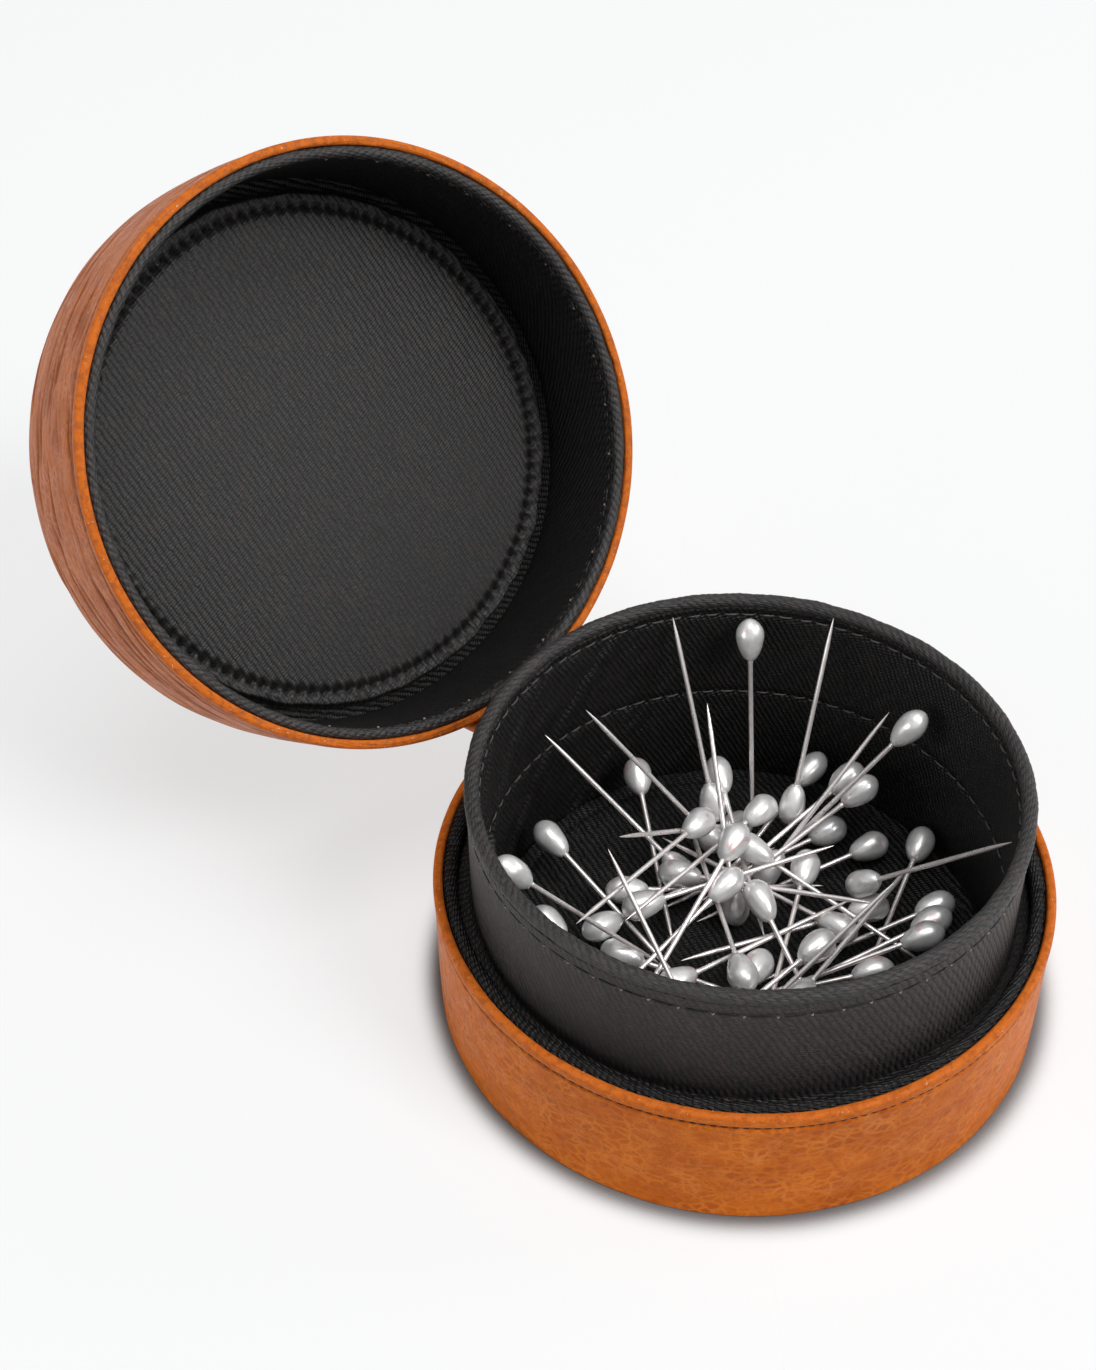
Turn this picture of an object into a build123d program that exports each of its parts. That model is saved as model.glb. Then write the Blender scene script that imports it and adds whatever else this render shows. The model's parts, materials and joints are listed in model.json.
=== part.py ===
"""Round leather needle case with a hinged lid, a twill lined collar and pearl head pins.

Millimetres. The origin is the centre of the base's underside, +Z is up, the front is -Y
and the leather hinge strap is at the back, on +Y. The lid is drawn closed, on the base,
and then turned about the strap's fold to the angle at which the case stands open.
"""
import math
import os

from build123d import *

# Outer shells
case_radius = 50.0
base_height = 24.8
lid_depth = 27.4
rim_gap = 0.3
lid_bulge = 0.4
leather = 1.4
board = 1.1
shell_lining = 0.5
edge_round = 0.6
end_panel_inset = 0.4
end_panel_round = 0.5
floor_board = 2.0
lid_board = 1.2
contact_gap = 0.02

# Stitched groove pressed in the leather below each rim
groove_drop = 2.5
groove_width = 0.9
groove_depth = 0.3

# Rolled welts inside the two rims
base_welt_width = 2.4
lid_welt_width = 1.9
welt_drop = 0.1

# Collar that the lid slides over
collar_headroom = 1.6
collar_clearance = 2.7
collar_board = 1.0
collar_fabric = 0.4
rim_roll_width = 2.4
rim_roll_lean = 0.1
hem_clearance = 1.5
hem_round = 1.0
lip_radius = 0.35

# Padded disc in the bowl's floor
floor_pad = 1.6
pad_fabric = 0.4
floor_pad_gap = 0.1

# Padded disc in the lid
lid_pad_gap = 1.8
lid_pad_depth = 3.0
lid_pad_crown = 0.7
lid_pad_edge = 1.1
lid_seam_inset = 3.2
lid_seam_width = 1.4
lid_seam_depth = 0.5
lid_top_lining = 0.4

# Leather hinge strap, whose fold is the lid's axis
hinge_reach = 1.4
hinge_rise = 3.5
hinge_tilt = 5.5
open_angle = 123.9
strap_width = 18.0
strap_length_base = 17.8
strap_length_lid = 14.5
strap_face_gap = 0.15
strap_round = 3.0
strap_clearance = 0.5
fold_radius = 0.8
fold_gap = 0.3

# Pearl head pins
pin_reach = 34.6
shaft_radius = 0.33
point_length = 3.0
head_radius = 2.25
head_length = 7.0
neck_radius = 0.45
head_balls = 4
pin_gap = 0.12
settle_steps = 40
settle_pull = 0.01
settle_swing = 2
settle_lift = 0.125
settle_rise = 0.5

# Levels that follow from the sizes above
floor_board_top = leather + floor_board
floor_top = floor_board_top + floor_pad
lid_rim = base_height + rim_gap
case_height = lid_rim + lid_depth
lid_panel_bottom = case_height - leather
lid_board_bottom = lid_panel_bottom - lid_board
lid_pad_top = lid_board_bottom - lid_top_lining
lid_pad_bottom = lid_board_bottom - lid_pad_depth
collar_height = lid_pad_bottom - collar_headroom
collar_wall_top = collar_height - rim_roll_width - contact_gap
base_welt_bottom = base_height - welt_drop - base_welt_width
hem_height = base_welt_bottom - hem_clearance
strap_bottom = base_height - strap_length_base

# Radii that follow from the sizes above
leather_inner = case_radius - leather
board_inner = leather_inner - board
lining_inner = board_inner - shell_lining
collar_radius = leather_inner - lid_welt_width - collar_clearance
collar_board_outer = collar_radius - collar_fabric
collar_board_inner = collar_board_outer - collar_board
bowl_radius = collar_board_inner - collar_fabric
rim_roll_centre = (collar_board_outer + collar_board_inner) / 2 + rim_roll_lean
lid_pad_radius = lining_inner - lid_pad_gap
lid_seam_radius = lid_pad_radius - lid_seam_inset

# Hinge axis, level with the strap's fold
pivot_y = case_radius + hinge_reach
pivot_z = base_height + hinge_rise
strap_face_y = pivot_y - strap_face_gap
tilt = math.radians(hinge_tilt)
hinge_axis = Axis((0, pivot_y, pivot_z), (-math.cos(tilt), 0, -math.sin(tilt)))

SECTION = Plane.XZ


def turned_tube(inner, outer, bottom, top):
    """A plain tube about the case's axis."""
    with BuildPart() as tube:
        with BuildSketch(SECTION):
            with Locations(((inner + outer) / 2, (bottom + top) / 2)):
                Rectangle(outer - inner, top - bottom)
        revolve(axis=Axis.Z)
    return tube.part


def turned_disc(radius, bottom, top, edge=0.0, low_edge=False):
    """A flat disc about the case's axis. Its upper or lower outer edge can be rounded."""
    with BuildPart() as disc:
        with Locations((0, 0, (bottom + top) / 2)):
            Cylinder(radius, top - bottom)
        if edge > 0:
            rims = disc.edges().filter_by(GeomType.CIRCLE).sort_by(Axis.Z)
            fillet(rims[0 if low_edge else -1], min(edge, (top - bottom) / 2.1))
    return disc.part


def rolled_welt(centre_radius, width, centre_height):
    """A fabric roll that runs round a rim."""
    with BuildPart() as welt:
        with BuildSketch(SECTION):
            with Locations((centre_radius, centre_height)):
                Circle(width / 2)
        revolve(axis=Axis.Z)
    return welt.part


def leather_wall(rim, far_end, bulge):
    """The side leather of a shell, from its folded rim edge to its end panel.

    The stitched groove runs round the outside, just inside the rim.
    """
    way = 1 if far_end > rim else -1
    groove = rim + way * groove_drop
    half = groove_width / 2
    middle = (groove + far_end) / 2
    corner = min(edge_round, leather / 2.1)
    bend = corner * (1 - math.sqrt(0.5))
    with BuildPart() as wall:
        with BuildSketch(SECTION):
            with BuildLine():
                Line((leather_inner, far_end), (leather_inner, rim + way * corner))
                ThreePointArc(
                    (leather_inner, rim + way * corner),
                    (leather_inner + bend, rim + way * bend),
                    (leather_inner + corner, rim),
                )
                Line((leather_inner + corner, rim), (case_radius - corner, rim))
                ThreePointArc(
                    (case_radius - corner, rim),
                    (case_radius - bend, rim + way * bend),
                    (case_radius, rim + way * corner),
                )
                Line((case_radius, rim + way * corner), (case_radius, groove - way * half))
                ThreePointArc(
                    (case_radius, groove - way * half),
                    (case_radius - groove_depth, groove),
                    (case_radius, groove + way * half),
                )
                if bulge > 0:
                    ThreePointArc(
                        (case_radius, groove + way * half),
                        (case_radius + bulge, middle),
                        (case_radius, far_end),
                    )
                else:
                    Line((case_radius, groove + way * half), (case_radius, far_end))
                Line((case_radius, far_end), (leather_inner, far_end))
            make_face()
        revolve(axis=Axis.Z)
    return wall.part


def open_lid(piece):
    """Turns a piece that was drawn on the closed lid to the open position."""
    return piece.rotate(hinge_axis, open_angle)


def keep(piece, name):
    """Labels a finished piece and writes its file."""
    piece.label = name
    export_step(piece, f"parts/{name}.step")


# Collar sleeve: thin twill above, and below the welt a hem that packs the shell
def collar_sleeve():
    hem_outer = lining_inner - 2 * contact_gap
    with BuildPart() as sleeve:
        with BuildSketch(SECTION) as section:
            with BuildLine():
                Polyline(
                    (collar_board_outer, floor_board_top),
                    (hem_outer, floor_board_top),
                    (hem_outer, hem_height),
                    (collar_radius, hem_height),
                    (collar_radius, collar_wall_top),
                    (collar_board_outer, collar_wall_top),
                    close=True,
                )
            make_face()
            shoulder = section.vertices().sort_by(Axis.X)[-2:].sort_by(Axis.Y)[-1]
            fillet(shoulder, hem_round)
        revolve(axis=Axis.Z)
    return sleeve.part


# Collar lining: twill tube with the turned lip that shows inside the rim roll
def collar_lining():
    lip_height = collar_wall_top - lip_radius
    with BuildPart() as lining:
        with BuildSketch(SECTION):
            with Locations((bowl_radius + collar_fabric / 2, (floor_board_top + collar_wall_top) / 2)):
                Rectangle(collar_fabric, collar_wall_top - floor_board_top)
            with Locations((bowl_radius, lip_height)):
                Circle(lip_radius)
        revolve(axis=Axis.Z)
    return lining.part


def lid_pad_outline(radius, face, back, crown, edge):
    """Draws half the section of the crowned pad: face is its open side, back its glued side."""
    flat = radius - edge
    soft = edge * (1 - math.sqrt(0.5))
    half = lid_seam_width / 2
    seam_face = face + lid_seam_depth
    crowned = lid_seam_radius - half
    dome_radius = (crowned**2 + crown**2) / (2 * crown)
    halfway = crown - dome_radius + math.sqrt(dome_radius**2 - crowned**2 / 4)
    ThreePointArc((crowned, face), (crowned / 2, face - halfway), (0, face - crown))
    ThreePointArc(
        (lid_seam_radius - half, face),
        (lid_seam_radius, seam_face),
        (lid_seam_radius + half, face),
    )
    Line((lid_seam_radius + half, face), (flat, face))
    ThreePointArc((flat, face), (radius - soft, face + soft), (radius, face + edge))
    Line((radius, face + edge), (radius, back))


# Lid pad cover: crowned twill, drawn in along the stitched seam and at its edge
def pad_cover():
    inner_radius = lid_pad_radius - pad_fabric
    inner_face = lid_pad_bottom + pad_fabric + lid_seam_depth
    with BuildPart() as cover:
        with BuildSketch(SECTION):
            with BuildLine():
                lid_pad_outline(lid_pad_radius, lid_pad_bottom, lid_pad_top, lid_pad_crown, lid_pad_edge)
                Line((lid_pad_radius, lid_pad_top), (inner_radius, lid_pad_top))
                Line((inner_radius, lid_pad_top), (inner_radius, inner_face))
                Line((inner_radius, inner_face), (0, inner_face))
                Line((0, inner_face), (0, lid_pad_bottom - lid_pad_crown))
            make_face()
        revolve(axis=Axis.Z)
    return cover.part


def strap_leaf(low_left, low_right, high_left, high_right, clear_radius, clear_top):
    """A leaf of the hinge strap: flat outside, and hollowed to lie on the round shell."""
    half = strap_width / 2
    with BuildPart() as leaf:
        with BuildSketch(SECTION.offset(-strap_face_y)) as outline:
            with BuildLine():
                Polyline(
                    (-half, low_left),
                    (half, low_right),
                    (half, high_right),
                    (-half, high_left),
                    close=True,
                )
            make_face()
            free_end = outline.vertices().sort_by(Axis.Y)
            corners = free_end[:2] if clear_top else free_end[-2:]
            fillet(corners, strap_round)
        extrude(amount=2 * leather)
        with Locations((0, 0, case_height / 2)):
            Cylinder(clear_radius, case_height, mode=Mode.SUBTRACT)
        if clear_top:
            with Locations((0, 0, base_height + case_height / 2)):
                Cylinder(case_radius + strap_clearance, case_height, mode=Mode.SUBTRACT)
    return leaf


# Base leaf of the strap, with the fold along the hinge line
def base_strap():
    half = strap_width / 2
    slope = half * math.tan(tilt)
    leaf = strap_leaf(
        strap_bottom, strap_bottom, pivot_z - slope, pivot_z + slope, case_radius + contact_gap, True
    )
    fold_plane = Plane(origin=(0, pivot_y, pivot_z), x_dir=(0, 1, 0), z_dir=hinge_axis.direction)
    with BuildPart() as strap:
        add(leaf.part)
        with BuildSketch(fold_plane):
            Circle(fold_radius)
        extrude(amount=half, both=True)
    return strap.part


# Lid leaf of the strap, drawn on the closed lid
def lid_strap():
    slope = strap_width / 2 * math.tan(tilt)
    start = pivot_z + (fold_radius + fold_gap) / math.cos(tilt)
    end = pivot_z + strap_length_lid
    leaf = strap_leaf(start - slope, start + slope, end, end, case_radius + lid_bulge + contact_gap, False)
    return leaf.part


# Pins, each given by its head's place, the way its shaft points and how steeply it rises.
# The heights are above the bowl's floor. The first group leans on the wall or on the heap,
# the second lies low in the heap with its heads to the right and in front.
leaning_pins = [
    (30, 24, 35, -130, -71),
    (16, 19, 8, 69, 60),
    (24, 8, 9, 20, 63),
    (13, 17, 5, 126, 50),
    (4, 16, 3, 114, 45),
    (14, 5, 3, -10, 45),
    (4, 4, 3, 55, 45),
    (19, -11, 8, -82, 46),
    (-22, -11, 3, 74, 31),
    (-18, -15, 3, -12, 31),
    (36, -6, 29, 147, -50),
    (-30, 23, 25, -44, -45),
    (13, 34, 8, -128, -12),
    (23, 24, 9, -135, -12),
    (35, 12, 8, -175, -12),
    (37, 4, 11, 164, -14),
    (34, -1, 14, 157, -21),
    (-9, 35, 8, -98, -12),
    (37, -11, 4, -160, -6),
    (22, 18, 5, 166, 32),
]
lying_pins = [
    (-8, 22, 3, -40, -4),
    (1, 19, 3, -61, -4),
    (-18, 19, 3, -10, -4),
    (31, 3, 3, 167, -4),
    (33, -5, 3, 155, -4),
    (28, -22, 3, 162, -4),
    (22, -24, 6, 158, -8),
    (17, -26, 8, 150, -12),
    (-20, 25, 3, -90, -4),
    (-18, 12, 3, -65, -4),
    (9, -24, 3, 145, -4),
    (23, 13, 8, 168, -8),
    (12, 7, 9, -90, -8),
    (13, -16, 3, 118, 2),
    (19, -14, 4, 155, 2),
    (-11, 15, 6, -18, 0),
    (-5, -9, 3, -165, -4),
    (5, -2, 6, -140, 0),
    (2, 5, 8, -160, 2),
    (9, 9, 12, -150, -4),
    (10, 20, 10, -150, -4),
    (-11, -10, 7, 60, 4),
    (-7, -18, 7, 5, 3),
    (-19, -1, 7, -20, -2),
    (4, -20, 5, 160, -2),
    (20, -2, 10, -150, -6),
]


def along(point, way, distance):
    """The point at a distance from another, along a unit vector."""
    return tuple(here + step * distance for here, step in zip(point, way))


def minus(a, b):
    return tuple(here - there for here, there in zip(a, b))


def dot(a, b):
    return a[0] * b[0] + a[1] * b[1] + a[2] * b[2]


def pin_ends(pin):
    """The centre of a pin's head, its tip and the unit vector between them."""
    x, y, height, turn, rise = pin
    flat = math.cos(math.radians(rise))
    way = (
        flat * math.cos(math.radians(turn)),
        flat * math.sin(math.radians(turn)),
        math.sin(math.radians(rise)),
    )
    head = (x, y, floor_top + height)
    return head, along(head, way, pin_reach), way


def segment_gap(a, b, c, d):
    """The least distance between the segments a-b and c-d."""
    u = minus(b, a)
    v = minus(d, c)
    w = minus(a, c)
    uu = dot(u, u)
    uv = dot(u, v)
    vv = dot(v, v)
    uw = dot(u, w)
    vw = dot(v, w)
    spread = uu * vv - uv * uv
    s = 0.0 if spread < 1e-9 else min(1.0, max(0.0, (uv * vw - vv * uw) / spread))
    t = min(1.0, max(0.0, (uv * s + vw) / vv))
    s = min(1.0, max(0.0, (uv * t - uw) / uu))
    return math.dist(along(w, u, s), along((0, 0, 0), v, t))


def head_profile(share):
    """A head's station and radius, from the ball's widest ring at 0 to the neck at 1."""
    ball = head_radius - head_length / 2
    station = ball + share * (head_length / 2 - ball)
    return station, neck_radius + (head_radius - neck_radius) * math.cos(share * math.pi / 2)


def pin_balls(head, way):
    """Balls that fill a head, to measure from."""
    balls = []
    for number in range(head_balls):
        station, radius = head_profile(number / head_balls)
        balls.append((along(head, way, station), radius))
    return balls


def bowl_clearance(pin):
    """How far a pin stays from the bowl's wall, its floor and the level of the collar's rim."""
    head, tip, way = pin
    gaps = []
    for point, radius in pin_balls(head, way) + [(tip, shaft_radius)]:
        gaps.append(bowl_radius - math.hypot(point[0], point[1]) - radius)
        gaps.append(point[2] - radius - floor_top)
        if point[2] + radius > collar_height - rim_roll_width:
            gaps.append(bowl_radius - lip_radius - math.hypot(point[0], point[1]) - radius)
        gaps.append(collar_height - point[2] - radius + pin_gap)
    return min(gaps)


def pin_clearance(first, second):
    """How far two pins stay apart."""
    gaps = [segment_gap(first[0], first[1], second[0], second[1]) - 2 * shaft_radius]
    first_balls = pin_balls(first[0], first[2])
    second_balls = pin_balls(second[0], second[2])
    for balls, other in ((first_balls, second), (second_balls, first)):
        for centre, radius in balls:
            beside = along(centre, other[2], 0.01)
            gaps.append(segment_gap(centre, beside, other[0], other[1]) - radius - shaft_radius)
    for centre, radius in first_balls:
        for other_centre, other_radius in second_balls:
            gaps.append(math.dist(centre, other_centre) - radius - other_radius)
    return min(gaps)


def clearance(pin, others):
    """How far a pin stays from the bowl and from other pins, counting only near ones."""
    gap = bowl_clearance(pin)
    for other in others:
        if gap < pin_gap:
            break
        gap = min(gap, pin_clearance(pin, other))
    return gap


def trials(pin):
    """A pin's own place and then others, further and further from it."""
    x, y, height, turn, rise = pin
    for step in range(settle_steps):
        pull = 1 - step * settle_pull
        for swing in range(-step, step + 1, settle_swing):
            for lift in (0, step * settle_lift, -step * settle_lift):
                for tip_rise in (0, step * settle_rise, -step * settle_rise):
                    yield x * pull, y * pull, height + lift, turn + swing, rise + tip_rise


def settle(pin, placed):
    """Moves a pin as little as it needs to lie clear of the bowl and of the pins before it."""
    for trial in trials(pin):
        ends = pin_ends(trial)
        if clearance(ends, placed) >= pin_gap:
            return ends
    return None


def sink(pin, others):
    """Lowers a pin until it rests on something, a touch above it."""
    head, tip, way = pin
    while clearance((head, tip, way), others) > 2 * pin_gap:
        head = along(head, (0, 0, -1), pin_gap / 2)
        tip = along(tip, (0, 0, -1), pin_gap / 2)
    return head, tip, way


def settle_all(pins):
    placed = []
    for pin in pins:
        ends = settle(pin, placed)
        if ends is not None:
            placed.append(ends)
    for number, ends in enumerate(placed):
        placed[number] = sink(ends, placed[:number] + placed[number + 1:])
    return placed


def pin_head():
    """A pearl teardrop: a ball whose neck narrows to the shaft. Its axis is +Z."""
    back = -head_length / 2
    neck = head_length / 2
    ball = back + head_radius
    waist, waist_radius = head_profile(0.5)
    with BuildPart() as head:
        with BuildSketch(SECTION):
            with BuildLine():
                Line((0, neck), (0, back))
                ThreePointArc(
                    (0, back),
                    (head_radius * math.sqrt(0.5), ball - head_radius * math.sqrt(0.5)),
                    (head_radius, ball),
                )
                ThreePointArc((head_radius, ball), (waist_radius, waist), (neck_radius, neck))
                Line((neck_radius, neck), (0, neck))
            make_face()
        revolve(axis=Axis.Z)
    return head.part


def pin_shaft():
    """A steel shaft with a long fine point. Its axis is +Z, and its head's centre is 0."""
    point = pin_reach - point_length
    with BuildPart() as shaft:
        with BuildSketch(SECTION):
            with BuildLine():
                Polyline(
                    (0, head_length / 2),
                    (shaft_radius, head_length / 2),
                    (shaft_radius, point),
                    (shaft_radius / 4, pin_reach),
                    (0, pin_reach),
                    close=True,
                )
            make_face()
        revolve(axis=Axis.Z)
    return shaft.part


def set_along(pattern, pins):
    """Copies of a pattern piece, one on each pin."""
    with BuildPart() as group:
        with Locations(*[Plane(origin=head, z_dir=way).location for head, tip, way in pins]):
            add(pattern)
    return group.part


os.makedirs("parts", exist_ok=True)

# Base shell
keep(leather_wall(base_height, leather, 0.0), "base_leather_wall")
keep(
    turned_disc(case_radius - end_panel_inset, 0, leather, end_panel_round, low_edge=True),
    "base_leather_bottom",
)
keep(turned_disc(leather_inner - contact_gap, leather, floor_board_top), "base_floor_board")
base_shell_top = base_welt_bottom - contact_gap
keep(
    turned_tube(board_inner, leather_inner - contact_gap, floor_board_top, base_shell_top),
    "base_wall_board",
)
keep(
    turned_tube(lining_inner, board_inner - contact_gap, floor_board_top, base_shell_top),
    "base_shell_lining",
)
keep(
    rolled_welt(
        leather_inner - contact_gap - base_welt_width / 2,
        base_welt_width,
        base_welt_bottom + base_welt_width / 2,
    ),
    "base_welt",
)

# Collar and bowl
keep(turned_tube(collar_board_inner, collar_board_outer, floor_board_top, collar_wall_top), "collar_board")
keep(collar_sleeve(), "collar_outer_sleeve")
keep(collar_lining(), "collar_inner_lining")
keep(
    rolled_welt(rim_roll_centre, rim_roll_width, collar_height - rim_roll_width / 2),
    "collar_rim_roll",
)
floor_pad_radius = bowl_radius - floor_pad_gap
keep(
    turned_disc(floor_pad_radius, floor_board_top, floor_top - pad_fabric),
    "floor_pad",
)
keep(turned_disc(floor_pad_radius, floor_top - pad_fabric, floor_top, pad_fabric), "floor_lining")

# Lid shell
keep(open_lid(leather_wall(lid_rim, lid_panel_bottom, lid_bulge)), "lid_leather_wall")
keep(
    open_lid(turned_disc(case_radius - end_panel_inset, lid_panel_bottom, case_height, end_panel_round)),
    "lid_leather_top",
)
keep(open_lid(turned_disc(leather_inner - contact_gap, lid_board_bottom, lid_panel_bottom)), "lid_top_board")
lid_shell_start = lid_rim + welt_drop + lid_welt_width + contact_gap
keep(
    open_lid(turned_tube(board_inner, leather_inner - contact_gap, lid_shell_start, lid_board_bottom)),
    "lid_wall_board",
)
keep(
    open_lid(turned_tube(lining_inner, board_inner - contact_gap, lid_shell_start, lid_board_bottom)),
    "lid_wall_lining",
)
keep(
    open_lid(turned_disc(lining_inner - contact_gap, lid_pad_top, lid_board_bottom)),
    "lid_top_lining",
)
keep(
    open_lid(
        rolled_welt(
            leather_inner - contact_gap - lid_welt_width / 2,
            lid_welt_width,
            lid_rim + welt_drop + lid_welt_width / 2,
        )
    ),
    "lid_welt",
)
pad_filling_bottom = lid_pad_bottom + pad_fabric + lid_seam_depth + contact_gap
keep(
    open_lid(turned_disc(lid_pad_radius - pad_fabric - contact_gap, pad_filling_bottom, lid_pad_top)),
    "lid_pad_filling",
)
keep(open_lid(pad_cover()), "lid_pad_cover")

# Hinge strap
keep(base_strap(), "hinge_strap_base")
keep(open_lid(lid_strap()), "hinge_strap_lid")

# Pins
settled_pins = settle_all(leaning_pins + lying_pins)
keep(set_along(pin_shaft(), settled_pins), "pin_shafts")
keep(set_along(pin_head(), settled_pins), "pin_heads")
print("pins placed", len(settled_pins), "of", len(leaning_pins) + len(lying_pins))
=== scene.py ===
"""Dresses the round leather needle case: grained leather, black twill, stitches and pearl head pins.

Every piece is drawn in millimetres about the case's axis and turned into metres when its mesh is
made. The lid's pieces are drawn on the closed lid and then swung open about the hinge.
"""

import json
import math

import bpy
import numpy as np
from mathutils import Matrix, Vector


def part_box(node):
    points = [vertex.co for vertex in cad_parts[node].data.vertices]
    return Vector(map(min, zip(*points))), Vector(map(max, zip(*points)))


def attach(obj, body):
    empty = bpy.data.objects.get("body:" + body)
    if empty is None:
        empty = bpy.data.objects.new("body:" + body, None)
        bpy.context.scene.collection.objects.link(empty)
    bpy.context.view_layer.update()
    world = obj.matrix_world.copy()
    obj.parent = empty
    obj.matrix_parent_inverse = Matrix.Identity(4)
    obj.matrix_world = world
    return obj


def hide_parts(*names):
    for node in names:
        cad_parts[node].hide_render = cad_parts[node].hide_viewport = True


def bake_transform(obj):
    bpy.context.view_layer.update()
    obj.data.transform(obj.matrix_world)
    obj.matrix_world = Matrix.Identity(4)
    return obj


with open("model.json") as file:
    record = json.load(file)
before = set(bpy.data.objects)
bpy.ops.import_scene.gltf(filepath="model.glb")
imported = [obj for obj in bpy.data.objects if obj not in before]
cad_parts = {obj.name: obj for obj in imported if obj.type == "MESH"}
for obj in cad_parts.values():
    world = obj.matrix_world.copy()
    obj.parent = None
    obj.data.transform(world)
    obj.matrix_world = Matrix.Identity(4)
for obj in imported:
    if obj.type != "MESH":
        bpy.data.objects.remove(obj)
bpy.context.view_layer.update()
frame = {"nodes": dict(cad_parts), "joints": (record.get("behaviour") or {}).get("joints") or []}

MM = 0.001
FULL_TURN = 2 * math.pi

# Camera, solved from the rims' ellipses, in the case's own frame
camera_place = (-186.8, -137.8, 276.9)
camera_heading = 44.08
camera_pitch = -42.66
camera_roll = -1.0
camera_lens = 55.15

# Weave: ribs across the cloth and yarns along each rib
rib_pitch = 1.07
yarn_pitch = 0.5

# Leather rims, measured down from the folded edge
groove_drop = 2.4
groove_width = 0.3
groove_depth = 0.55
ridge = 0.16
rim_corner = 0.55
crease_depth = 0.30
rim_stitch_pitch = 1.6
base_foot = 0.15

# Collar and bowl
sleeve_skin = 0.4
bowl_skin = 0.4
hem_level = 20.8
collar_stitch_drop = 4.5
collar_stitch_pitch = 4.6
bowl_upper_stitch_drop = 3.4
bowl_middle_stitch_rise = 19.0
bowl_stitch_pitch = 3.2
floor_seam_inset = 3.0

# Lid's lining and pad
lid_stitch_pitch = 3.4
lid_knot_pitch = 9
pad_seam_inset = 3.4
pad_stitch_count = 112
pad_lean = 86

# Hinge strap
strap_width = 18.0
strap_thickness = 1.3
strap_lid_length = 14.0
strap_seam_inset = 1.8
strap_stitch_pitch = 2.6

# Pins
head_length = 7.8
head_radius = 2.45
neck_cover = 0.9
shaft_radius = 0.42
neck_bead_radius = 0.52

# Studio
floor_reach = 6000
floor_glow = 0.635
contact_reach = 5.2
world_level = 0.15
world_gloss = 0.6
backdrop_level = 0.955

hinge = frame["joints"][0]
hinge_place = Vector(hinge["pos_m"]) / MM
hinge_axis = Vector(hinge["axis"]).normalized()
open_turn = -math.radians(hinge["range_deg"][0])


def about_hinge(angle):
    turn = Matrix.Rotation(angle, 4, hinge_axis)
    return Matrix.Translation(hinge_place) @ turn @ Matrix.Translation(-hinge_place)


opened = about_hinge(open_turn)
shell_frames = {"base": Matrix.Identity(4), "lid": opened}


class Shell:
    """A CAD node's inner and outer radius and its lowest and highest level, on the closed case."""

    def __init__(self, node, body):
        points = np.array([v.co for v in frame["nodes"][node].data.vertices]) / MM
        points = np.c_[points, np.ones(len(points))] @ np.array(shell_frames[body].inverted()).T
        radii = np.hypot(points[:, 0], points[:, 1])
        self.inner, self.outer = float(radii.min()), float(radii.max())
        self.low, self.high = float(points[:, 2].min()), float(points[:, 2].max())


base_wall = Shell("base_leather_wall", "base")
base_lining = Shell("base_shell_lining", "base")
base_welt = Shell("base_welt", "base")
sleeve = Shell("collar_outer_sleeve", "base")
collar_core = Shell("collar_board", "base")
bowl_lining = Shell("collar_inner_lining", "base")
rim_roll = Shell("collar_rim_roll", "base")
bowl_floor = Shell("floor_lining", "base")
bowl_pad = Shell("floor_pad", "base")
lid_wall = Shell("lid_leather_wall", "lid")
lid_lining = Shell("lid_wall_lining", "lid")
lid_ceiling = Shell("lid_top_lining", "lid")
lid_welt = Shell("lid_welt", "lid")
lid_pad = Shell("lid_pad_cover", "lid")
sleeve_radius = collar_core.outer + sleeve_skin
bowl_radius = collar_core.inner - bowl_skin
pad_seam = lid_pad.outer - pad_seam_inset


# Small tools for shapes

def smooth(low, high, value):
    """0 below low, 1 above high and a soft step between them."""
    share = np.clip((value - low) / (high - low), 0, 1)
    return share * share * (3 - 2 * share)


def bell(value, centre, width):
    """1 at the centre, fading to 0 on both sides."""
    return np.exp(-(((value - centre) / width) ** 2))


def ripple(angle, counts, seed):
    """Uneven waves round the case, about 1 high, that close up after a full turn."""
    spread = np.random.default_rng(seed)
    total = np.zeros_like(angle)
    for count in counts:
        total = total + spread.uniform(0.5, 1) * np.sin(count * angle + spread.uniform(0, FULL_TURN))
    return total / math.sqrt(len(counts))


def soft_profile(points, step=0.4):
    """Points every so often along an outline of straight runs, so that it can be bent and puckered."""
    outline = [points[0]]
    for start, end in zip(points, points[1:]):
        parts = max(1, math.ceil(math.dist(start, end) / step))
        for part in range(1, parts + 1):
            share = part / parts
            outline.append(tuple(a + (b - a) * share for a, b in zip(start, end)))
    return outline


def arc(centre, radius, start, end, parts):
    """Points of an arc in a section, from one angle to another, in degrees."""
    points = []
    for part in range(parts + 1):
        turn = math.radians(start + (end - start) * part / parts)
        points.append((centre[0] + radius * math.cos(turn), centre[1] + radius * math.sin(turn)))
    return points


def add_object(name, data):
    obj = bpy.data.objects.new(name, data)
    bpy.context.scene.collection.objects.link(obj)
    return obj


def finish_piece(obj, body, material, *replaced):
    """Gives a piece its material and slot, its body and the CAD nodes that it stands for."""
    obj.data.materials.append(material)
    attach(obj, body)
    if replaced:
        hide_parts(*replaced)


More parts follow.
